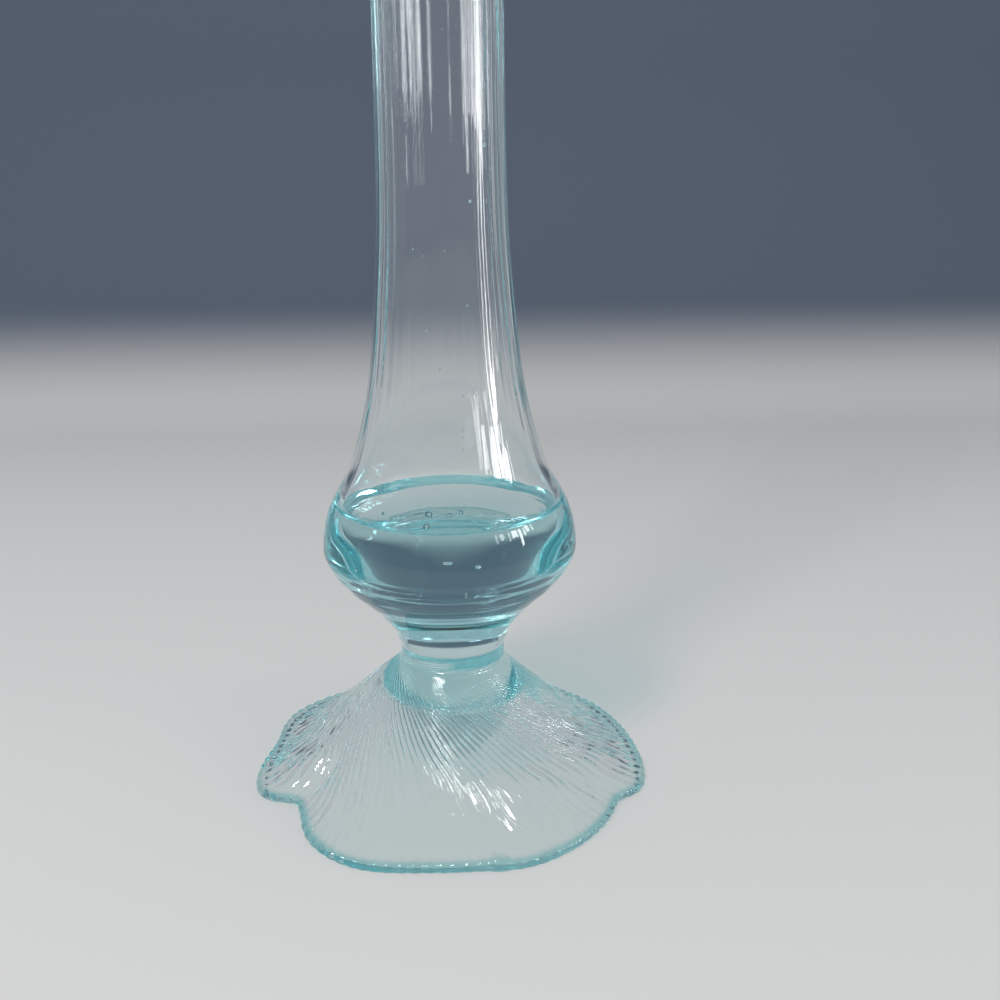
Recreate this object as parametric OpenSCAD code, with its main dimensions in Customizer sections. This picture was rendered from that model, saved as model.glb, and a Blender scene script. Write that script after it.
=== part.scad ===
// Tall blown glass vase: a drawn tube with a heavy solid bulb, sealed on a glass button and on a ribbed,
// swirled and ruffled foot.
// Millimetres, +Z up. The origin is on the table, under the middle of the foot.

/* [Whole vase] */
// Height from the table to the top of the lip
vase_h = 380; // [330:5:430]

/* [Body] */
// Diameter of the neck, where body, button and foot are sealed together
neck_d = 28.1; // [25:0.1:32]
// Widest diameter of the bulb
bulb_d = 66.8; // [58:0.2:76]
// Height of the bulb's widest place above the neck
bulb_rise = 32.5; // [28:0.5:38]
// Outside diameter of the tube at its narrowest place
tube_d = 30.6; // [26:0.2:35]
// Height of the tube's narrowest place above the bulb's widest place
tube_rise = 140; // [118:1:162]
// Diameter of the trumpet mouth over its lip
mouth_d = 92; // [74:1:110]
// Wall of the tube
tube_wall = 2.2; // [1.9:0.1:2.6]
// Thickness of the fire-polished lip
lip_d = 3.6; // [3:0.1:4.3]

/* [Cavity] */
// Height of the cavity's floor above the bulb's widest place
floor_rise = 8; // [6.5:0.5:9.5]
// Height of the cavity's widest place above its floor
swell_rise = 6; // [5:0.5:7]
// Glass beside the cavity at its widest place
swell_wall = 2.6; // [2.2:0.1:3.1]
// Height over which the cavity's wall goes over to the wall of the tube
wall_fade = 14.5; // [12:0.5:17.5]

/* [Foot] */
// Height of the foot, from the table to the neck
foot_h = 32.5; // [28:0.5:37]
// Diameter of the foot over its lobes
foot_d = 109.6; // [95:0.2:128]
// Thickness of the foot's skin
skin = 2.3; // [1.9:0.1:2.8]
// Depth ground off the lobes where they stand on the table
foot_wear = 0.4; // [0.35:0.05:0.45]
// How far a full pinch lifts the rim
pinch_lift = 1.3; // [1.1:0.1:1.5]
// How far a full pinch draws the rim in
pinch_draw = 9; // [7.5:0.1:10.5]
// Radius from the axis at which the pinches begin
pinch_start_r = 27; // [22:0.5:32]
// How far the skirt leans to the left, where it leans most
skirt_lean = 1.2; // [1:0.1:1.4]

/* [Ribs] */
// Number of ribs round the foot
rib_count = 104; // [80:4:120]
// Height of a rib from valley to crest
rib_depth = 0.7; // [0.5:0.05:0.9]
// Angle that the ribs swirl through from the neck to the rim
rib_swirl = 75; // [60:1:90]
// Distance from the neck's wall in which the swirl fades by a factor of e
swirl_fade = 10; // [8:0.5:12]

/* [Button] */
// Diameter of the button where the foot's skin leaves it
seat_d = 37.4; // [34:0.2:41]
// Height of the button's lowest point above the table
button_clear = 6; // [5:0.1:7]
// Width of the step between the seat's edge and the foot's skin
seat_ledge = 0.4; // [0.3:0.05:0.5]

/* [Hidden] */
$fn = 96;

neck_r = neck_d / 2;
bulb_r = bulb_d / 2;
tube_r = tube_d / 2;
mouth_r = mouth_d / 2;
lip_r = lip_d / 2;
foot_r = foot_d / 2;
seat_r = seat_d / 2;
// Overrun of a cut past the face that it opens
overrun = skin;

// Heights of the body's landmarks
bulb_z = foot_h + bulb_rise;
waist_z = bulb_z + tube_rise;
lip_z = vase_h - lip_r;
floor_z = bulb_z + floor_rise;
swell_z = floor_z + swell_rise;

// Steps along the neck and bulb, the drawn tube, the trumpet and the cavity's floor
bulb_steps = 12;
tube_steps = 26;
flare_steps = 12;
floor_steps = 10;
dome_steps = 12;

// Under the bulb: share of the rise against share of the swelling from the neck
under_shares = [[0, 0], [0.07, 0], [0.117, 0.005], [0.169, 0.037], [0.262, 0.092], [0.354, 0.198],
    [0.477, 0.37], [0.6, 0.58], [0.723, 0.788], [0.846, 0.93], [0.95, 0.995], [1, 1]];
// Over the bulb: share of the rise against share of the bulb's swelling that is left
over_shares = [[0, 1], [0.021, 0.985], [0.05, 0.939], [0.079, 0.863], [0.107, 0.74], [0.136, 0.613],
    [0.164, 0.524], [0.2, 0.432], [0.25, 0.332], [0.321, 0.224], [0.429, 0.129], [0.571, 0.045],
    [0.75, 0.01], [1, 0]];
// Share of the way out to the mouth goes with this power of the share of the height
flare_power = 5;
// Powers of the cavity's rounded floor, along its height and along its radius
floor_rise_power = 6;
floor_round_power = 3;
// The skirt's outer side from the neck to the rim: share of the radius against share of the height
skirt_shares = [[0, 1], [0.006, 0.97], [0.038, 0.918], [0.08, 0.852], [0.132, 0.788], [0.21, 0.684],
    [0.303, 0.564], [0.44, 0.412], [0.555, 0.302], [0.7, 0.19], [0.85, 0.086], [0.951, 0.022], [1, 0]];
// How far the rim is pinched all round: angle from the front towards the right against share of a full pinch
rim_shares = [[-180, 0.2], [-166, 0.33], [-143, 0.74], [-116, 0.12], [-97, 0.38], [-77, 0.02], [-70, 0.12],
    [-61, 0.8], [-55, 0.72], [-43, 0.23], [-28, 0.05], [-8, 0.28], [8, 0.27], [18, 0.12], [34, 0.2],
    [48, 0.38], [57, 0.52], [65, 0.2], [72, 0.18], [92, 0.52], [112, 0.74], [133, 1], [148, 0.8],
    [165, 0.35], [180, 0.2]];
front = -90;

// Smooth curve through a table of shares, in cubic steps
function rise_at(t, i) =
    let (a = max(i - 1, 0), b = min(i + 1, len(t) - 1))
    (t[b][1] - t[a][1]) / (t[b][0] - t[a][0]);
function span_of(t, x, i = 0) = i >= len(t) - 2 || x < t[i + 1][0] ? i : span_of(t, x, i + 1);
function smooth(t, x) =
    let (i = span_of(t, x), w = t[i + 1][0] - t[i][0], u = (x - t[i][0]) / w)
    (1 + 2 * u) * pow(1 - u, 2) * t[i][1] + u * pow(1 - u, 2) * w * rise_at(t, i)
    + u * u * (3 - 2 * u) * t[i + 1][1] + u * u * (u - 1) * w * rise_at(t, i + 1);
function ease(x) = let (u = max(0, min(1, x))) u * u * (3 - 2 * u);

// Radius of the body's outer side at a height
flare_end_r = mouth_r - lip_r + tube_wall / 2;
function body_r(z) =
    z < bulb_z ? neck_r + (bulb_r - neck_r) * smooth(under_shares, (z - foot_h) / bulb_rise)
    : z < waist_z ? tube_r + (bulb_r - tube_r) * smooth(over_shares, (z - bulb_z) / tube_rise)
    : tube_r + (flare_end_r - tube_r) * pow((z - waist_z) / (lip_z - waist_z), flare_power);
// Radius of the body's bore at a height
function bore_r(z) = body_r(z) - tube_wall - (swell_wall - tube_wall) * exp(-(z - swell_z) / wall_fade);
// Radius of the cavity below that: a flat floor with rounded corners
function floor_r(z) =
    let (left = max(0, 1 - pow((swell_z - z) / swell_rise, floor_rise_power)))
    bore_r(z) * pow(left, 1 / floor_round_power);

// Heights that the body's sides are drawn through
under_z = [for (i = [0 : bulb_steps]) foot_h + bulb_rise * i / bulb_steps];
over_z = [for (i = [1 : tube_steps]) bulb_z + tube_rise * pow(i / tube_steps, 1.5)];
flare_z = [for (i = [1 : flare_steps]) waist_z + (lip_z - waist_z) * pow(i / flare_steps, 0.6)];
outer_z = concat(under_z, over_z, flare_z);
bore_z = concat([swell_z], [for (z = over_z) if (z > swell_z + tube_wall) z], flare_z);
rounded_z = [for (i = [0 : floor_steps - 1]) swell_z - swell_rise * pow(1 - i / floor_steps, 0.35)];

module vase_body() {
    color([0.72, 0.86, 0.87, 0.6])
    rotate_extrude()
    union() {
        polygon(concat(
            [[0, foot_h]],
            [for (z = outer_z) [body_r(z), z]],
            [for (i = [len(bore_z) - 1 : -1 : 0]) [bore_r(bore_z[i]), bore_z[i]]],
            [for (i = [floor_steps - 1 : -1 : 0]) [floor_r(rounded_z[i]), rounded_z[i]]]
        ));
        translate([mouth_r - lip_r, lip_z]) circle(r = lip_r);
    }
}

// The skirt's outer side, and its inner side at the skin's thickness
skirt = [for (s = skirt_shares)
    [neck_r + (foot_r - skin / 4 - neck_r) * s[0], skin + (foot_h - skin) * s[1]]];
function skirt_normal(i) =
    i == 0 ? [1, 0]
    : let (d = skirt[min(i + 1, len(skirt) - 1)] - skirt[i - 1]) [-d[1], d[0]] / norm(d);
lining = [for (i = [0 : len(skirt) - 1]) skirt[i] - skin * skirt_normal(i)];
seat_z = lookup(seat_r, lining);
ledge_z = lookup(seat_r + seat_ledge, lining);
// The part of the lining that the button fills, from the neck down to the edge of its seat
seat = concat([for (p = lining) if (p[0] < seat_r - seat_ledge) p], [[seat_r, seat_z]]);

// Place of a skirt point after the pinches and the lean, from its radius, height and angle
function pinch_at(a) = smooth(rim_shares, (a - front + 900) % 360 - 180);
function reach(r) = ease((r - pinch_start_r) / (foot_r - pinch_start_r));
// Share of the lean at a radius: 0 at the neck and the rim, and 1 a third of the way out
function leaning(r) = let (s = (r - neck_r) / (foot_r - neck_r)) 27 / 4 * s * pow(1 - s, 2);
function pinched(r, z, a) =
    let (w = pinch_at(a) * reach(r), q = r - pinch_draw * w)
    [q * cos(a) - skirt_lean * leaning(r), q * sin(a), z + pinch_lift * w - foot_wear * reach(r)];
function swirl(r) = rib_swirl * (1 - exp(-(r - neck_r) / swirl_fade));

// Rows of the skirt: ribbed outside and over the rim, plain inside with half as many columns
function ribbed_row(r, z, n, depth, turn) = [for (j = [0 : 2 * rib_count - 1])
    let (out = (j % 2 == 0 ? 1 : -1) * depth / 2)
    pinched(r + n[0] * out, z + n[1] * out, 180 * j / rib_count + turn)];
function plain_row(r, z) = [for (j = [0 : rib_count - 1])
    pinched(r, z, 360 * j / rib_count + swirl(foot_r))];
outer_rows = [for (i = [0 : len(skirt) - 1])
    let (r = skirt[i][0], z = skirt[i][1], depth = rib_depth * ease((foot_h - z) / (skin / 2)))
    ribbed_row(r, z, skirt_normal(i), depth, swirl(r))];
rim_row = ribbed_row(foot_r, skin / 2, [1, 0], rib_depth / 2, swirl(foot_r));
inner_points = concat(
    [[foot_r - skin / 4, 0], [foot_r - 3 * skin / 4, 0]],
    [for (i = [len(lining) - 2 : -1 : 0]) if (lining[i][0] > seat_r + 2 * seat_ledge) lining[i]],
    [[seat_r + seat_ledge, ledge_z]]
);
inner_rows = [for (p = inner_points) plain_row(p[0], p[1])];

module skirt_block() {
    rows = concat(outer_rows, [rim_row]);
    m = 2 * rib_count;
    base = len(rows) * m;
    last = base + (len(inner_rows) - 1) * rib_count;
    points = concat(
        [for (row = rows, p = row) p],
        [for (row = inner_rows, p = row) p],
        [[0, 0, foot_h], [0, 0, ledge_z]]
    );
    top = len(points) - 2;
    // Across the crown
    crown = [for (j = [0 : m - 1]) [top, (j + 1) % m, j]];
    // Down the ribbed side, two triangles to a cell
    ribbed = [for (i = [0 : len(rows) - 2], j = [0 : m - 1])
        let (k = (j + 1) % m, a = i * m, b = a + m)
        each [[a + j, a + k, b + k], [a + j, b + k, b + j]]];
    // Under the rim, where two columns outside meet one inside
    under = [for (j = [0 : rib_count - 1])
        let (k = (j + 1) % rib_count, a = base - m, t = a + 2 * j)
        each [[t, t + 1, base + j], [t + 1, a + 2 * k, base + k], [t + 1, base + k, base + j]]];
    // Up the plain side and across its top
    plain = [for (i = [0 : len(inner_rows) - 2], j = [0 : rib_count - 1])
        let (k = (j + 1) % rib_count, a = base + i * rib_count, b = a + rib_count)
        each [[a + j, a + k, b + k], [a + j, b + k, b + j]]];
    ceiling = [for (j = [0 : rib_count - 1]) [top + 1, last + j, last + (j + 1) % rib_count]];
    polyhedron(points, concat(crown, ribbed, under, plain, ceiling));
}

module foot() {
    color([0.55, 0.75, 0.76, 0.6])
    difference() {
        skirt_block();
        rotate_extrude() polygon(concat(
            [[0, foot_h + overrun], [seat[0][0], foot_h + overrun]],
            seat,
            [[seat_r, seat_z - overrun], [0, seat_z - overrun]]
        ));
        translate([0, 0, -overrun]) cylinder(r = foot_r + overrun, h = overrun);
    }
}

module stem_button() {
    color([0.4, 0.72, 0.76, 0.7])
    rotate_extrude() polygon(concat(
        [[0, foot_h]],
        seat,
        [for (i = [1 : dome_steps])
            [seat_r * cos(90 * i / dome_steps), seat_z - (seat_z - button_clear) * sin(90 * i / dome_steps)]]
    ));
}

vase_body();
stem_button();
foot();
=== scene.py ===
"""Looks for a tall blown glass vase: ribbed ruffled foot, solid button, heavy bulb and drawn tube.

Metres, in the row frame: the origin is on the table under the middle of the foot, -Y is towards the viewer.
"""

import math

import bpy
import numpy as np
from mathutils import Matrix, Vector


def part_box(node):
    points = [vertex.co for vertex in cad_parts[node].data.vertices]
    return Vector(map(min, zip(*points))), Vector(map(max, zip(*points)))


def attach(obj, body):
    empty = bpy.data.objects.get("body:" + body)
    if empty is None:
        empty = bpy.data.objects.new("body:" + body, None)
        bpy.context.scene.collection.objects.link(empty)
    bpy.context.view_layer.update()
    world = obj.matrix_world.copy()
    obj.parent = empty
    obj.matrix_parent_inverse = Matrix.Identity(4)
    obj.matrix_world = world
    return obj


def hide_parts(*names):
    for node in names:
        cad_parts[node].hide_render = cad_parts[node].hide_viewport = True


MM = 0.001
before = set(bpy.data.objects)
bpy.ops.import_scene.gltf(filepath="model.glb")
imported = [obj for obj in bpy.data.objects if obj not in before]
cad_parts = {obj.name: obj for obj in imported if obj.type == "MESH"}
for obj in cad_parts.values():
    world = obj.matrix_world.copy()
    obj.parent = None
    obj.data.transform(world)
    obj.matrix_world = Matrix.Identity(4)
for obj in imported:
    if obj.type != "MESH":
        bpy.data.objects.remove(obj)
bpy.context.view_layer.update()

# Sizes that come from the frame
body_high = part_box("vase_body")[1]
foot_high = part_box("foot")[1]
button_low, button_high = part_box("stem_button")
VASE_H = body_high.z
FOOT_H = foot_high.z
MOUTH_R = body_high.x
SEAT_R = button_high.x
BUTTON_CLEAR = button_low.z

# Driving sizes of the glass, the same as the construction's
NECK_R = 14.05 * MM
BULB_R = 33.4 * MM
BULB_RISE = 32.5 * MM
TUBE_R = 15.25 * MM
TUBE_RISE = 140 * MM
TUBE_WALL = 2.2 * MM
LIP_R = 1.8 * MM
FLOOR_RISE = 8 * MM
SWELL_RISE = 6 * MM
SWELL_WALL = 2.6 * MM
WALL_FADE = 14.5 * MM
FOOT_R = 54.8 * MM
SKIN = 2.3 * MM
FOOT_WEAR = 0.4 * MM
PINCH_LIFT = 1.3 * MM
PINCH_DRAW = 9 * MM
PINCH_START_R = 27 * MM
SKIRT_LEAN = 1.2 * MM
RIB_COUNT = 104
RIB_DEPTH = 0.7 * MM
# Degrees that the ribs turn on their way from the neck to the rim, and where the front is
RIB_SWIRL = 75
FRONT = -90
SWIRL_FADE = 10 * MM
# Half of the gap left between two pieces that are sealed together
SEAL_GAP = 0.004 * MM

# Marks of the hand work, which the construction leaves out. Waves are given by the seed of their dice, the
# range of waves in a full turn, the most waves in a metre and, where it isn't the usual one, their count
STRIA = 0.034 * MM
STRIA_FADE = 45 * MM
FLOOR_WAVE = 0.14 * MM
TOOL_RINGS = ((60.4 * MM, 0.8 * MM, 0.16 * MM), (56.4 * MM, 0.7 * MM, 0.14 * MM))
RIB_WOBBLE = 0.13
SKIN_RIPPLE = 0.035 * MM
RIM_SWELL = 0.5 * MM
RIM_SWELL_WIDTH = 2.5 * MM
# The drip at the rim: degrees from the front, and half its width in degrees
DRIP_TURN = 10.5
DRIP_HALF = 2.6
DRIP_SWELL = 1.2 * MM
OUTER_WAVES = (3, (9, 44), 5)
INNER_WAVES = (4, (11, 52), 6)
FLOOR_WAVES = (5, (2, 7), 30)
RIB_WAVES = (11, (3, 17), 110)
STRENGTH_WAVES = (12, (9, 40), 60)
SKIN_WAVES = (13, (9, 46), 260, 20)
USUAL_WAVES = 14
# Below 1, this power makes the ribs' crests rounder and their valleys sharper
RIB_POWER = 0.9
RIB_UNEVEN = 0.22
WEAKEST_RIB = 0.4
STRONGEST_RIB = 1.5
# Share of the way from neck to rim over which the skin's ripples begin
RIPPLE_START = 0.25
# Depth of the ribs, as shares of the full depth against the share of the way from neck to rim
RIB_SHARES = [
    (0, 0), (0.05, 0.1), (0.12, 0.28), (0.2, 0.85), (0.3, 1), (0.5, 0.95), (0.75, 0.8), (1, 0.55),
]
# Bubbles in the tube's wall: degrees from the front, height, radius and stretch along the tube
TUBE_BUBBLES = [
    (3, 186, 0.14, 1.5), (7, 179, 0.12, 1), (-4.6, 174, 0.12, 1), (0.2, 173.5, 0.11, 1),
    (41.5, 162.7, 0.45, 1.3), (-26.7, 140, 0.14, 2), (-17, 138.5, 0.13, 1.5), (1, 139.6, 0.13, 2),
    (-14.6, 121.7, 0.2, 1.6), (18.2, 127.2, 0.15, 3), (-4.8, 112.7, 0.2, 1.4), (11.5, 106.5, 0.22, 1.2),
    (9.9, 98.5, 0.2, 1), (9.6, 97, 0.22, 1), (9, 94.1, 0.2, 1), (31.4, 97.6, 0.3, 1.2),
    (150, 151, 0.2, 2.5), (-118, 119, 0.18, 1.5), (172, 225, 0.16, 2), (-70, 258, 0.2, 1.6),
    (66, 301, 0.18, 2), (-160, 330, 0.2, 1.3), (-10.2, 79.9, 0.95, 1), (-10.9, 77.3, 0.85, 1),
    (0, 79.8, 0.5, 1), (5.4, 80.2, 0.55, 1), (-34, 79.2, 0.4, 1),
]
# Bubbles in the solid bulb: where, in millimetres, and half their size along each axis
BULB_BUBBLES = [
    ((-5.7, 2.9, 71.1), (0.8, 0.8, 0.7)), ((4.3, 3.7, 71.3), (0.7, 0.7, 0.6)),
    ((-0.7, -23, 66.8), (1.2, 0.4, 0.35)), ((5.8, -22.5, 65.6), (0.8, 0.5, 0.4)),
    ((3, -20, 60.6), (0.2, 0.2, 0.2)), ((8, -19, 58.8), (0.22, 0.22, 0.2)),
    ((-20.8, -15.6, 63.2), (0.4, 0.4, 0.35)), ((14, 15, 62), (0.4, 0.3, 0.3)),
    ((-9, 18, 59), (0.35, 0.5, 0.3)),
]
BUBBLE_SIDES = 14
BUBBLE_ROWS = 9

# Outline of the body below and above the bulb's widest place: share of the rise, and share of the widening
UNDER_SHARES = [
    (0, 0), (0.07, 0), (0.117, 0.005), (0.169, 0.037), (0.262, 0.092), (0.354, 0.198), (0.477, 0.37),
    (0.6, 0.58), (0.723, 0.788), (0.846, 0.93), (0.95, 0.995), (1, 1),
]
OVER_SHARES = [
    (0, 1), (0.021, 0.985), (0.05, 0.939), (0.079, 0.863), (0.107, 0.74), (0.136, 0.613),
    (0.164, 0.524), (0.2, 0.432), (0.25, 0.332), (0.321, 0.224), (0.429, 0.129), (0.571, 0.045),
    (0.75, 0.01), (1, 0),
]
# Outline of the skirt from the neck to the rim: share of the reach, and share of the height
SKIRT_SHARES = [
    (0, 1), (0.006, 0.97), (0.038, 0.918), (0.08, 0.852), (0.132, 0.788), (0.21, 0.684), (0.303, 0.564),
    (0.44, 0.412), (0.555, 0.302), (0.7, 0.19), (0.85, 0.086), (0.951, 0.022), (1, 0),
]
# Pinches of the rim: degrees from the front, and share of a full pinch
RIM_SHARES = [
    (-180, 0.2), (-166, 0.33), (-143, 0.74), (-116, 0.12), (-97, 0.38), (-77, 0.02), (-70, 0.12),
    (-61, 0.8), (-55, 0.72), (-43, 0.23), (-28, 0.05), (-8, 0.28), (8, 0.27), (18, 0.12), (34, 0.2),
    (48, 0.38), (57, 0.52), (65, 0.2), (72, 0.18), (92, 0.52), (112, 0.74), (133, 1), (148, 0.8),
    (165, 0.35), (180, 0.2),
]
# Powers of the trumpet's flare and of the cavity's rounded floor
FLARE_POWER = 5
FLOOR_RISE_POWER = 6
FLOOR_ROUND_POWER = 3

# Turns of a light path inside the glass
LONG_PATH = 80

# The photograph's camera: pixels, degrees and metres
PHOTO_SIDE = 1000
FOCAL_PIXELS = 950
AXIS_PIXEL_X = 453.5
CAMERA_BACK = 0.241
CAMERA_UP = 0.145
CAMERA_PITCH = 16.1
CAMERA_ROLL = -0.5
# Millimetres, and metres to the nearest thing that the camera sees
SENSOR = 36
NEAREST = 0.01


def smooth(shares, x):
    """Smooth curve through a table of shares, in cubic steps."""
    table = np.array(shares, float)
    xs, ys = table[:, 0], table[:, 1]
    low = np.clip(np.arange(len(xs)) - 1, 0, None)
    high = np.clip(np.arange(len(xs)) + 1, None, len(xs) - 1)
    slope = (ys[high] - ys[low]) / (xs[high] - xs[low])
    i = np.clip(np.searchsorted(xs, x, side="right") - 1, 0, len(xs) - 2)
    w = xs[i + 1] - xs[i]
    u = (x - xs[i]) / w
    return (
        (1 + 2 * u) * (1 - u) ** 2 * ys[i]
        + u * (1 - u) ** 2 * w * slope[i]
        + u * u * (3 - 2 * u) * ys[i + 1]
        + u * u * (u - 1) * w * slope[i + 1]
    )


def ease(x):
    u = np.clip(x, 0, 1)
    return u * u * (3 - 2 * u)


def ripples(seed, around, along, count=USUAL_WAVES):
    """Irregular smooth waves of about unit height: waves in a full turn, and most waves in a metre."""
    dice = np.random.default_rng(seed)
    turns = dice.integers(around[0], around[1], count)
    slopes = dice.uniform(-along, along, count)
    phases = dice.uniform(0, 2 * math.pi, count)

    def height(angles, distance):
        waves = [
            np.sin(turn * angles + 2 * math.pi * slope * distance + phase)
            for turn, slope, phase in zip(turns, slopes, phases)
        ]
        return sum(waves) / math.sqrt(count / 2)

    return height


# Mesh tools

def ring(radius, height, angles):
    """Points of one level ring; radius and height are numbers or one value for each angle."""
    radius = np.broadcast_to(radius, angles.shape)
    height = np.broadcast_to(height, angles.shape)
    return np.stack([radius * np.cos(angles), radius * np.sin(angles), height], axis=1)


def skin_rows(rows):
    """Points, faces and each face's row for a tube of rings.

    Rings of equal count are joined by quads. A ring of half or twice as many points, or of a single point,
    is stitched on with triangles.
    """
    faces = []
    blocks = []
    starts = np.cumsum([0] + [len(r) for r in rows])
    for k in range(len(rows) - 1):
        a, b = starts[k], starts[k + 1]
        n, m = len(rows[k]), len(rows[k + 1])
        if m == 1:
            new = [(a + (j + 1) % n, a + j, b) for j in range(n)]
        elif n == 1:
            new = [(a, b + j, b + (j + 1) % m) for j in range(m)]
        elif n == m:
            new = [(a + j, b + j, b + (j + 1) % n, a + (j + 1) % n) for j in range(n)]
        elif n == 2 * m:
            new = []
            for j in range(m):
                k1 = (j + 1) % m
                new.append((a + 2 * j, b + j, a + 2 * j + 1))
                new.append((a + 2 * j + 1, b + k1, a + 2 * k1))
                new.append((a + 2 * j + 1, b + j, b + k1))
        else:
            new = []
            for j in range(n):
                k1 = (j + 1) % n
                new.append((b + 2 * j, b + 2 * j + 1, a + j))
                new.append((b + 2 * j + 1, b + 2 * k1, a + k1))
                new.append((b + 2 * j + 1, a + k1, a + j))
        blocks += [k] * len(new)
        faces += new
    return np.concatenate(rows), faces, blocks


def bubble(centre, halves):
    """Vertices and faces of a small hollow in the glass, whose faces look inwards."""
    around = np.arange(BUBBLE_SIDES) * 2 * math.pi / BUBBLE_SIDES
    turns = np.linspace(-math.pi / 2, math.pi / 2, BUBBLE_ROWS)
    rows = [np.array([[0, 0, -1.0]])]
    rows += [ring(math.cos(t), math.sin(t), around) for t in turns[1:-1]]
    rows.append(np.array([[0, 0, 1.0]]))
    points, faces, _ = skin_rows(rows)
    return points * halves + centre, faces


def mesh_object(name, points, faces, material, sealed=None, edge=None):
    """A smooth mesh; sealed is 1 for each face that is sealed to another piece, and the last argument is 1
    at the rim, where a teal glow is painted.
    """
    mesh = bpy.data.meshes.new(name)
    mesh.from_pydata(points.tolist(), [], faces)
    mesh.materials.append(material)
    mesh.polygons.foreach_set("use_smooth", [True] * len(faces))
    if sealed:
        mesh.attributes.new("sealed", "FLOAT", "FACE").data.foreach_set("value", sealed)
    if edge:
        mesh.attributes.new("edge", "FLOAT", "POINT").data.foreach_set("value", edge)
    mesh.update()
    obj = bpy.data.objects.new(name, mesh)
    bpy.context.scene.collection.objects.link(obj)
    return obj


# The body's profile

BULB_Z = FOOT_H + BULB_RISE
WAIST_Z = BULB_Z + TUBE_RISE
LIP_Z = VASE_H - LIP_R
FLOOR_Z = BULB_Z + FLOOR_RISE
SWELL_Z = FLOOR_Z + SWELL_RISE
FLARE_END_R = MOUTH_R - LIP_R + TUBE_WALL / 2


def body_r(z):
    """Radius of the outer side at a height."""
    z = np.asarray(z, float)
    under = NECK_R + (BULB_R - NECK_R) * smooth(UNDER_SHARES, np.clip((z - FOOT_H) / BULB_RISE, 0, 1))
    over = TUBE_R + (BULB_R - TUBE_R) * smooth(OVER_SHARES, np.clip((z - BULB_Z) / TUBE_RISE, 0, 1))
    opened = np.clip((z - WAIST_Z) / (LIP_Z - WAIST_Z), 0, 1) ** FLARE_POWER
    flare = TUBE_R + (FLARE_END_R - TUBE_R) * opened
    rings = sum(depth * np.exp(-((z - at) / width) ** 2) for at, width, depth in TOOL_RINGS)
    return np.where(z < BULB_Z, under - rings, np.where(z < WAIST_Z, over, flare))


def bore_r(z):
    """Radius of the bore at a height above the cavity's floor."""
    z = np.asarray(z, float)
    return body_r(z) - TUBE_WALL - (SWELL_WALL - TUBE_WALL) * np.exp(-(z - SWELL_Z) / WALL_FADE)


def floor_r(z):
    """Radius of the cavity's rounded floor at a height."""
    share = np.clip((SWELL_Z - z) / SWELL_RISE, 0, 1)
    return bore_r(z) * (1 - share ** FLOOR_RISE_POWER) ** (1 / FLOOR_ROUND_POWER)


# Materials

def new_material(name):
    material = bpy.data.materials.new(name)
    material.use_nodes = True
    material.node_tree.nodes.clear()
    return material, material.node_tree.nodes, material.node_tree.links


GLASS_IOR = 1.52
GLASS_DENSITY = 11.0
TINT = (0.1, 0.8, 0.84, 1)
# Teal painted into the foot's surface colour at its rim: a painted glow for what is left of light that ran
# along the skin of the foot and leaves at its rim
RIM_GLOW_PAINT = (0.34, 0.72, 0.74, 1)
# What one skin of glass lets through on the way to the floor
SHADOW_TINT = (0.9, 0.93, 0.93, 1)
WAVE_DETAIL = 2.0
WAVE_STRENGTH = 0.3
WAVE_HEIGHT = 0.02 * MM


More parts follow.
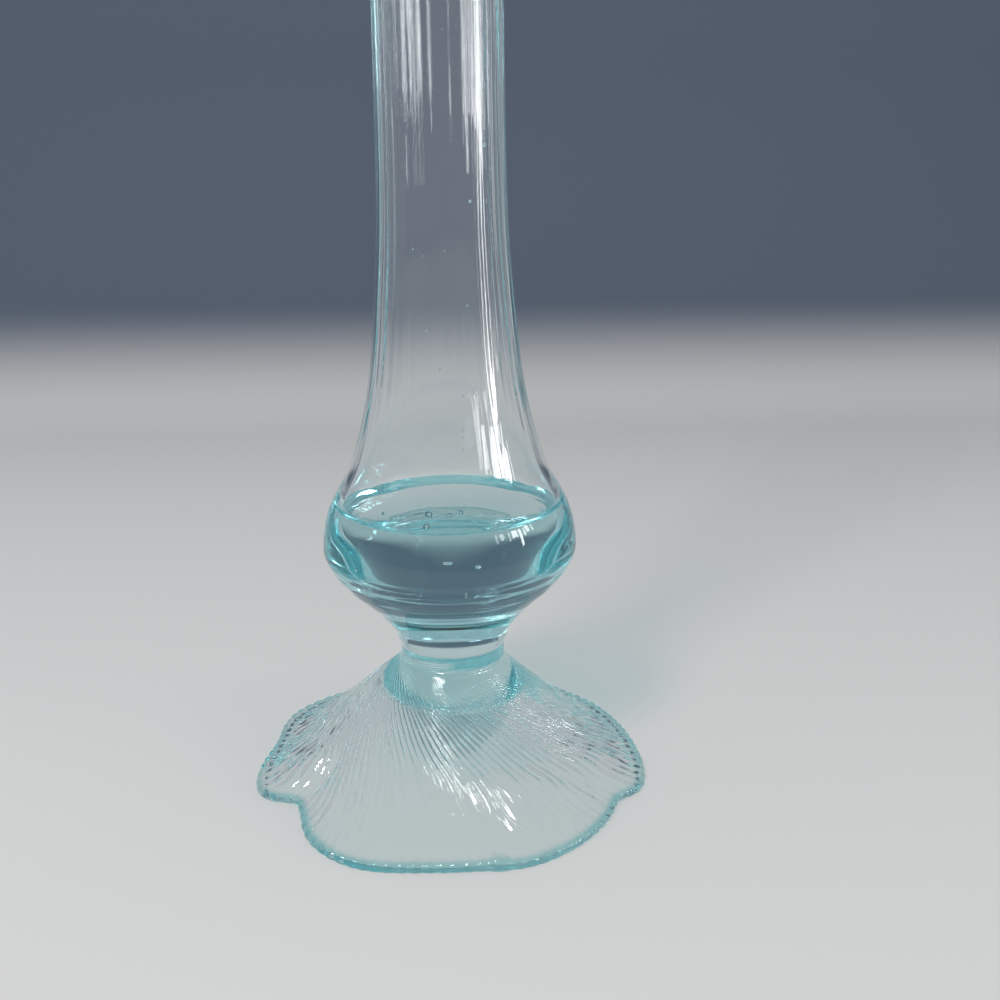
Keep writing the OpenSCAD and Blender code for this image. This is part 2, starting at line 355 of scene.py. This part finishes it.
def glass(name, wave_scale):
    """Clear glass whose tint grows with its thickness, with a faint hand-worked waviness and a teal glow
    painted near the foot's rim.
    """
    material, nodes, links = new_material(name)
    out = nodes.new("ShaderNodeOutputMaterial")
    shader = nodes.new("ShaderNodeBsdfPrincipled")
    shader.inputs["Roughness"].default_value = 0.0
    shader.inputs["IOR"].default_value = GLASS_IOR
    shader.inputs["Transmission Weight"].default_value = 1.0
    # Painted glow: near the foot's rim the surface colour turns teal, standing in for light that ran along
    # the skin
    edge = nodes.new("ShaderNodeAttribute")
    edge.attribute_name = "edge"
    rim_glow_mix = nodes.new("ShaderNodeMix")
    rim_glow_mix.data_type = "RGBA"
    rim_glow_mix.inputs["A"].default_value = (1, 1, 1, 1)
    rim_glow_mix.inputs["B"].default_value = RIM_GLOW_PAINT
    links.new(edge.outputs["Fac"], rim_glow_mix.inputs["Factor"])
    links.new(rim_glow_mix.outputs["Result"], shader.inputs["Base Color"])
    place = nodes.new("ShaderNodeTexCoord")
    wave = nodes.new("ShaderNodeTexNoise")
    wave.inputs["Scale"].default_value = wave_scale
    wave.inputs["Detail"].default_value = WAVE_DETAIL
    bump = nodes.new("ShaderNodeBump")
    bump.inputs["Strength"].default_value = WAVE_STRENGTH
    bump.inputs["Distance"].default_value = WAVE_HEIGHT
    links.new(place.outputs["Object"], wave.inputs["Vector"])
    links.new(wave.outputs["Fac"], bump.inputs["Height"])
    links.new(bump.outputs["Normal"], shader.inputs["Normal"])
    # Light on its way to or from the floor goes straight through, so that the glass has a pale shadow
    path = nodes.new("ShaderNodeLightPath")
    through = nodes.new("ShaderNodeBsdfTransparent")
    through.inputs["Color"].default_value = SHADOW_TINT
    lit = nodes.new("ShaderNodeMixShader")
    straight = nodes.new("ShaderNodeMath")
    straight.operation = "MAXIMUM"
    links.new(path.outputs["Is Shadow Ray"], straight.inputs[0])
    links.new(path.outputs["Is Diffuse Ray"], straight.inputs[1])
    links.new(straight.outputs["Value"], lit.inputs["Fac"])
    links.new(shader.outputs["BSDF"], lit.inputs[1])
    links.new(through.outputs["BSDF"], lit.inputs[2])
    # Where two pieces of hot glass ran together nothing shows, but the tint goes on
    sealed = nodes.new("ShaderNodeAttribute")
    sealed.attribute_name = "sealed"
    clear = nodes.new("ShaderNodeBsdfTransparent")
    joined = nodes.new("ShaderNodeMixShader")
    links.new(sealed.outputs["Fac"], joined.inputs["Fac"])
    links.new(lit.outputs["Shader"], joined.inputs[1])
    links.new(clear.outputs["BSDF"], joined.inputs[2])
    links.new(joined.outputs["Shader"], out.inputs["Surface"])
    volume = nodes.new("ShaderNodeVolumeAbsorption")
    volume.inputs["Color"].default_value = TINT
    volume.inputs["Density"].default_value = GLASS_DENSITY
    links.new(volume.outputs["Volume"], out.inputs["Volume"])
    return material


# The number is the scale of the faint waviness
body_glass = glass("clear_aqua_glass", 60)
button_glass = glass("deep_aqua_glass", 90)
foot_glass = glass("ribbed_aqua_glass", 120)


# The body

BODY_COLUMNS = 360
BULB_ROWS = 60
TUBE_ROWS = 130
FLARE_ROWS = 70
LIP_ROWS = 14
FLOOR_ROWS = 40
# Powers that crowd the rows just above the bulb's widest place and low in the cavity's rounded floor
TUBE_CROWD = 1.4
FLOOR_CROWD = 0.35
# Where on the round lip the trumpet's outer side ends, in radians, and rows left out there
LIP_START = -0.72
LIP_ROOM = 3


def make_body():
    angles = np.arange(BODY_COLUMNS) * 2 * math.pi / BODY_COLUMNS
    under = np.linspace(FOOT_H, BULB_Z, BULB_ROWS)
    over = BULB_Z + TUBE_RISE * np.linspace(0, 1, TUBE_ROWS)[1:] ** TUBE_CROWD
    flare = WAIST_Z + (LIP_Z - WAIST_Z) * np.linspace(0, 1, FLARE_ROWS)[1:]
    outer = np.concatenate([under, over, flare])
    lip_turns = np.linspace(0, math.pi, LIP_ROWS)[1:-1]
    middle = MOUTH_R - LIP_R
    bore = outer[outer > SWELL_Z][::-1]
    rounded = SWELL_Z - SWELL_RISE * np.linspace(0, 1, FLOOR_ROWS) ** FLOOR_CROWD
    outer_wave = ripples(*OUTER_WAVES)
    inner_wave = ripples(*INNER_WAVES)
    floor_wave = ripples(*FLOOR_WAVES)
    rows = [np.array([[0, 0, FOOT_H + SEAL_GAP]])]
    rows.append(ring(NECK_R / 2, FOOT_H + SEAL_GAP, angles))
    rows.append(ring(NECK_R, FOOT_H + SEAL_GAP, angles))
    sealed = len(rows) - 1
    # Up the outer side
    for z in outer[1:-LIP_ROOM]:
        drawn = STRIA * float(ease((z - SWELL_Z) / STRIA_FADE))
        rows.append(ring(float(body_r(z)) + drawn * outer_wave(angles, z), z, angles))
    # Over the lip and down the bore
    for t in lip_turns:
        turn = LIP_START + t
        rows.append(ring(middle + LIP_R * math.cos(turn), LIP_Z + LIP_R * math.sin(turn), angles))
    for z in bore[LIP_ROOM:]:
        drawn = STRIA * float(ease((z - SWELL_Z) / STRIA_FADE))
        rows.append(ring(float(bore_r(z)) + drawn * inner_wave(angles, z), z, angles))
    # The cavity's floor, rippled most between its edge and its middle
    for z in rounded[:-1]:
        low = float(ease((SWELL_Z - z) / SWELL_RISE))
        lift = FLOOR_WAVE * 4 * low * (1 - low) * floor_wave(angles, z)
        rows.append(ring(float(floor_r(z)), z + lift, angles))
    rows.append(np.array([[0, 0, FLOOR_Z]]))
    points, faces, blocks = skin_rows(rows)
    faces = [face[::-1] for face in faces]
    joined = [1.0 if block < sealed else 0.0 for block in blocks]
    hollows = [(MM * np.array(centre), MM * np.array(halves)) for centre, halves in BULB_BUBBLES]
    for turn, height, radius, stretch in TUBE_BUBBLES:
        a = math.radians(turn + FRONT)
        z = height * MM
        middle = (float(body_r(z)) + float(bore_r(z))) / 2
        centre = np.array([middle * math.cos(a), middle * math.sin(a), z])
        hollows.append((centre, radius * MM * np.array([1, 1, stretch])))
    for centre, halves in hollows:
        more_points, more_faces = bubble(centre, halves)
        faces += [tuple(len(points) + k for k in face) for face in more_faces]
        points = np.concatenate([points, more_points])
        joined += [0.0] * len(more_faces)
    return mesh_object("blown_body", points, faces, body_glass, joined)


# The foot's skirt

SKIRT_ROWS = 90
RIM_ROWS = 12
RIM_INSET = SKIN / 4
# share * (1 - share) ** 2 is at most 4 / 27
LEAN_PEAK = 4 / 27


def from_front(angles, turn=0):
    """Degrees from the front, or from a turn beyond it, between -180 and 180."""
    return (np.degrees(angles) - FRONT - turn + 180) % 360 - 180


def skirt_side():
    """Points and outward normals along the skirt's outer side, from the neck to the rim."""
    table = np.array(SKIRT_SHARES)
    rough = np.stack([
        NECK_R + (FOOT_R - RIM_INSET - NECK_R) * table[:, 0],
        SKIN + (FOOT_H - SKIN) * table[:, 1],
    ], axis=1)
    length = np.concatenate([[0], np.cumsum(np.linalg.norm(np.diff(rough, axis=0), axis=1))])
    at = np.linspace(0, length[-1], SKIRT_ROWS)
    path = np.stack([smooth(list(zip(length, rough[:, k])), at) for k in range(2)], axis=1)
    step = np.gradient(path, axis=0)
    normal = np.stack([-step[:, 1], step[:, 0]], axis=1)
    normal /= np.linalg.norm(normal, axis=1)[:, None]
    normal[0] = (1, 0)
    return path, normal


def pinch(angles):
    """Share of a full pinch at each angle round the foot, in radians."""
    return smooth(RIM_SHARES, from_front(angles))


def pinched(radius, height, angles):
    """Points of a ring of the skirt after the pinches, the lean and the flats worn under the lobes."""
    reach = ease((radius - PINCH_START_R) / (FOOT_R - PINCH_START_R))
    share = (radius - NECK_R) / (FOOT_R - NECK_R)
    lean = SKIRT_LEAN * share * (1 - share) ** 2 / LEAN_PEAK
    w = pinch(angles) * reach
    z = np.maximum(height + PINCH_LIFT * w - FOOT_WEAR * reach, 0)
    points = ring(radius - PINCH_DRAW * w, z, angles)
    points[:, 0] -= lean
    return points


def swirl(radius):
    """How far the ribs have turned at a radius, in radians."""
    return math.radians(RIB_SWIRL) * (1 - np.exp(-(radius - NECK_R) / SWIRL_FADE))


rib_wave = ripples(*RIB_WAVES)
rib_strength = ripples(*STRENGTH_WAVES)
skin_wave = ripples(*SKIN_WAVES)


def ribs(turns, angles, radius):
    """Height of the ribs and ripples over the plain skirt, at a radius; turns counts ribs."""
    share = (radius - NECK_R) / (FOOT_R - NECK_R)
    depth = RIB_DEPTH * float(smooth(RIB_SHARES, np.array(min(max(share, 0), 1))))
    wobble = RIB_WOBBLE * rib_wave(angles, radius)
    crest = np.abs(np.sin(math.pi * (turns + wobble))) ** RIB_POWER - 0.5
    strength = np.clip(1 + RIB_UNEVEN * rib_strength(angles, radius), WEAKEST_RIB, STRONGEST_RIB)
    ripple = SKIN_RIPPLE * float(ease(share / RIPPLE_START)) * skin_wave(angles, radius)
    return depth * crest * strength + ripple


RIB_COLUMNS = 8
OUTER_COLUMNS = RIB_COUNT * RIB_COLUMNS
INNER_COLUMNS = OUTER_COLUMNS // 2
# Rows of the mesh over which the rim's painted glow fades
RIM_GLOW_ROWS = 1.6


def swell(radius, angles):
    """How much thicker the skirt is near its fire-polished rim, with one drip at the front."""
    near = math.exp(-(((FOOT_R - radius) / RIM_SWELL_WIDTH) ** 2))
    off = from_front(angles, DRIP_TURN) / DRIP_HALF
    return near * (RIM_SWELL + DRIP_SWELL * np.exp(-(off ** 2)))


def make_foot():
    path, normal = skirt_side()
    base = np.arange(OUTER_COLUMNS) * 2 * math.pi / OUTER_COLUMNS
    turns = np.arange(OUTER_COLUMNS) / RIB_COLUMNS
    plain = np.arange(INNER_COLUMNS) * 2 * math.pi / INNER_COLUMNS + swirl(FOOT_R)
    lining = path - SKIN * normal
    seat = lining[lining[:, 0] < SEAT_R] + SEAL_GAP * normal[lining[:, 0] < SEAT_R]
    rows = []
    # From the seat's top across the seal to the neck
    rows.append(ring(seat[0][0], FOOT_H - SEAL_GAP, plain))
    rows.append(ring(NECK_R, FOOT_H - SEAL_GAP, base + swirl(NECK_R)))
    sealed_top = 1
    # Down the ribbed outer side
    for k in range(1, len(path)):
        r, z = path[k]
        out = ribs(turns, base, r) + swell(r, base + swirl(r))
        rows.append(pinched(r + normal[k][0] * out, z + normal[k][1] * out, base + swirl(r)))
    # Round the rim
    centre = lining[-1] + (path[-1] - lining[-1]) / 2
    start = math.atan2(*(path[-1] - centre)[::-1])
    first_turn = len(rows)
    for t in np.linspace(0, math.pi, RIM_ROWS)[1:-1]:
        turn = start - t
        # The ribs and the swelling fade out towards the plain lining
        fade = math.cos(t / 2) ** 2
        out = fade * (ribs(turns, base, FOOT_R) + swell(FOOT_R, base + swirl(FOOT_R)))
        r = centre[0] + (SKIN / 2 + out) * math.cos(turn)
        z = centre[1] + (SKIN / 2 + out) * math.sin(turn)
        rows.append(pinched(r, z, base + swirl(FOOT_R)))
    last_turn = len(rows)
    # Back up the plain lining
    inner = [p for p in lining[::-1] if p[0] > SEAT_R]
    for r, z in inner:
        rows.append(pinched(np.full(INNER_COLUMNS, r), z, plain))
    before_seat = len(rows) - 1
    for r, z in seat[::-1][:-1]:
        rows.append(ring(r, z, plain))
    rows.append(ring(seat[0][0], FOOT_H - SEAL_GAP, plain))
    points, faces, blocks = skin_rows(rows)
    joined = [1.0 if block < sealed_top or block >= before_seat else 0.0 for block in blocks]
    # Mask for the rim's painted glow: 1 on the turn round the rim, fading away from it
    edge = []
    for k, row in enumerate(rows):
        away = max(first_turn - k, k - last_turn, 0)
        edge += [math.exp(-((away / RIM_GLOW_ROWS) ** 2))] * len(row)
    return mesh_object("ribbed_foot", points, faces, foot_glass, joined, edge)


DOME_ROWS = 40


def make_button():
    path, normal = skirt_side()
    lining = path - (SKIN + SEAL_GAP) * normal
    seat = [p for p in lining if p[0] < SEAT_R - SEAL_GAP]
    angles = np.arange(INNER_COLUMNS) * 2 * math.pi / INNER_COLUMNS + swirl(FOOT_R)
    top = FOOT_H - SEAL_GAP
    rows = [np.array([[0, 0, top]])]
    rows.append(ring(seat[0][0] / 2, top, angles))
    rows.append(ring(seat[0][0], top, angles))
    for r, z in seat[1:]:
        rows.append(ring(r, z, angles))
    sealed = len(rows) - 1
    edge_r, edge_z = seat[-1]
    for t in np.linspace(0, math.pi / 2, DOME_ROWS)[1:-1]:
        rows.append(ring(edge_r * math.cos(t), edge_z - (edge_z - BUTTON_CLEAR) * math.sin(t), angles))
    rows.append(np.array([[0, 0, BUTTON_CLEAR]]))
    points, faces, blocks = skin_rows(rows)
    joined = [1.0 if block < sealed else 0.0 for block in blocks]
    return mesh_object("solid_button", points, faces, button_glass, joined)


# The studio: a pale floor with a curved backdrop behind the object

FLOOR_R = 1.4
FLOOR_SIDES = 96
PALE = (0.66, 0.65, 0.635, 1)
BLUE_GREY = (0.1, 0.125, 0.17, 1)
LIGHT_GREY = (0.58, 0.62, 0.66, 1)
BACKDROP_HALF = 0.62
BACKDROP_Y = 0.75
BACKDROP_BEND = 0.3
BACKDROP_TOP = 0.9
BEND_ROWS = 32
PAINT_ROUGHNESS = 0.9
# The paint is pale on the floor, grey from the first height to the second, and light from the third
PAINT_STEPS = (0.08, 0.36, 0.62)


def matt(name):
    """Matt paint, pale on the floor, grey behind the object and light again above it."""
    material, nodes, links = new_material(name)
    out = nodes.new("ShaderNodeOutputMaterial")
    shader = nodes.new("ShaderNodeBsdfPrincipled")
    shader.inputs["Roughness"].default_value = PAINT_ROUGHNESS
    place = nodes.new("ShaderNodeTexCoord")
    parts = nodes.new("ShaderNodeSeparateXYZ")
    grey_from, grey_to, light_from = PAINT_STEPS
    colour = None
    links.new(place.outputs["Object"], parts.inputs["Vector"])
    for low, high, above in ((0.0, grey_from, BLUE_GREY), (grey_to, light_from, LIGHT_GREY)):
        climb = nodes.new("ShaderNodeMapRange")
        climb.interpolation_type = "SMOOTHSTEP"
        climb.inputs["From Min"].default_value = low
        climb.inputs["From Max"].default_value = high
        paint = nodes.new("ShaderNodeMix")
        paint.data_type = "RGBA"
        paint.inputs["A"].default_value = PALE
        paint.inputs["B"].default_value = above
        links.new(parts.outputs["Z"], climb.inputs["Value"])
        links.new(climb.outputs["Result"], paint.inputs["Factor"])
        if colour:
            links.new(colour, paint.inputs["A"])
        colour = paint.outputs["Result"]
    links.new(colour, shader.inputs["Base Color"])
    links.new(shader.outputs["BSDF"], out.inputs["Surface"])
    return material


def make_floor(paint):
    points = ring(FLOOR_R, 0, np.arange(FLOOR_SIDES) * 2 * math.pi / FLOOR_SIDES)
    return mesh_object("floor", points, [tuple(range(len(points)))], paint)


def make_backdrop(paint):
    points = []
    for t in np.linspace(0, math.pi / 2, BEND_ROWS):
        y = BACKDROP_Y - BACKDROP_BEND * (1 - math.sin(t))
        z = BACKDROP_BEND * (1 - math.cos(t))
        points += [(-BACKDROP_HALF, y, z), (BACKDROP_HALF, y, z)]
    points += [(-BACKDROP_HALF, BACKDROP_Y, BACKDROP_TOP), (BACKDROP_HALF, BACKDROP_Y, BACKDROP_TOP)]
    faces = [(2 * k, 2 * k + 1, 2 * k + 3, 2 * k + 2) for k in range(len(points) // 2 - 1)]
    return mesh_object("backdrop", np.array(points), faces, paint)


# Degrees from the viewer's side, lower and upper edge, width and glow
WINDOW_STRIPS = (
    (42, 0.26, 0.42, 0.03, 6),
    (47.5, 0.285, 0.42, 0.06, 8),
    (54.5, 0.24, 0.4, 0.025, 8),
    (60.5, 0.27, 0.42, 0.09, 15),
    (66.5, 0.15, 0.4, 0.04, 17),
    (71, 0.24, 0.39, 0.035, 11),
    (75, 0.28, 0.42, 0.06, 13),
    (80.5, 0.25, 0.38, 0.03, 8),
)
WINDOW_DISTANCE = 0.9
# The same for the key, with its distance
KEY = (-38, 0.8, 1.04, 0.24, 42, 0.75)
SKY = (0.5, 0.52, 0.55, 1)
SKY_STRENGTH = 0.9


def soft_box(name, azimuth, low, high, width, glow, distance=WINDOW_DISTANCE):
    """An upright lamp of even glow; azimuth 0 is the viewer's side and grows to the right."""
    lamp = bpy.data.lights.new(name, "AREA")
    lamp.shape = "RECTANGLE"
    lamp.size = width
    lamp.size_y = high - low
    lamp.energy = glow * math.pi * width * (high - low)
    obj = bpy.data.objects.new(name, lamp)
    a = math.radians(azimuth)
    obj.location = (distance * math.sin(a), -distance * math.cos(a), (low + high) / 2)
    obj.rotation_euler = (math.pi / 2, 0, a)
    obj.visible_camera = False
    bpy.context.scene.collection.objects.link(obj)
    return obj


def make_lights():
    # A window at the right, in upright strips of unlike length, gives the tube its long broken highlights
    for number, strip in enumerate(WINDOW_STRIPS):
        soft_box("window_strip_" + str(number), *strip)
    # The key stands high at the left, so that the shadow falls to the right and back
    key = soft_box("high_key", *KEY)
    key.rotation_euler = (-Vector(key.location)).to_track_quat("-Z", "Y").to_euler()
    world = bpy.data.worlds.new("studio")
    world.use_nodes = True
    sky = world.node_tree.nodes["Background"]
    sky.inputs["Color"].default_value = SKY
    sky.inputs["Strength"].default_value = SKY_STRENGTH
    bpy.context.scene.world = world


def make_camera():
    camera = bpy.data.cameras.new("photo_camera")
    camera.sensor_width = SENSOR
    camera.lens = SENSOR * FOCAL_PIXELS / PHOTO_SIDE
    camera.clip_start = NEAREST
    obj = bpy.data.objects.new("photo_camera", camera)
    pitch = math.radians(CAMERA_PITCH)
    depth = CAMERA_BACK * math.cos(pitch) + CAMERA_UP * math.sin(pitch)
    yaw = math.asin((PHOTO_SIDE / 2 - AXIS_PIXEL_X) / FOCAL_PIXELS * depth / CAMERA_BACK)
    turn = Matrix.Rotation(-yaw, 4, "Z") @ Matrix.Rotation(math.pi / 2 - pitch, 4, "X")
    turn = turn @ Matrix.Rotation(math.radians(CAMERA_ROLL), 4, "Z")
    obj.matrix_world = Matrix.Translation((0, -CAMERA_BACK, CAMERA_UP)) @ turn
    bpy.context.scene.collection.objects.link(obj)
    bpy.context.scene.camera = obj


make_camera()
body = make_body()
foot = make_foot()
button = make_button()
for piece, node, slot in (
    (body, "vase_body", "clear_aqua_glass"),
    (foot, "foot", "ribbed_aqua_glass"),
    (button, "stem_button", "deep_aqua_glass"),
):
    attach(piece, "root")
    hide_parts(node)
pale_paint = matt("pale_paint")
make_floor(pale_paint)
make_backdrop(pale_paint)
make_lights()

scene = bpy.context.scene
scene.view_settings.view_transform = "Standard"
# Light that enters thick glass at its edge is thrown about inside, where a short path would end as black
scene.cycles.max_bounces = LONG_PATH
scene.cycles.transmission_bounces = LONG_PATH
scene.cycles.glossy_bounces = LONG_PATH
scene.cycles.transparent_max_bounces = LONG_PATH
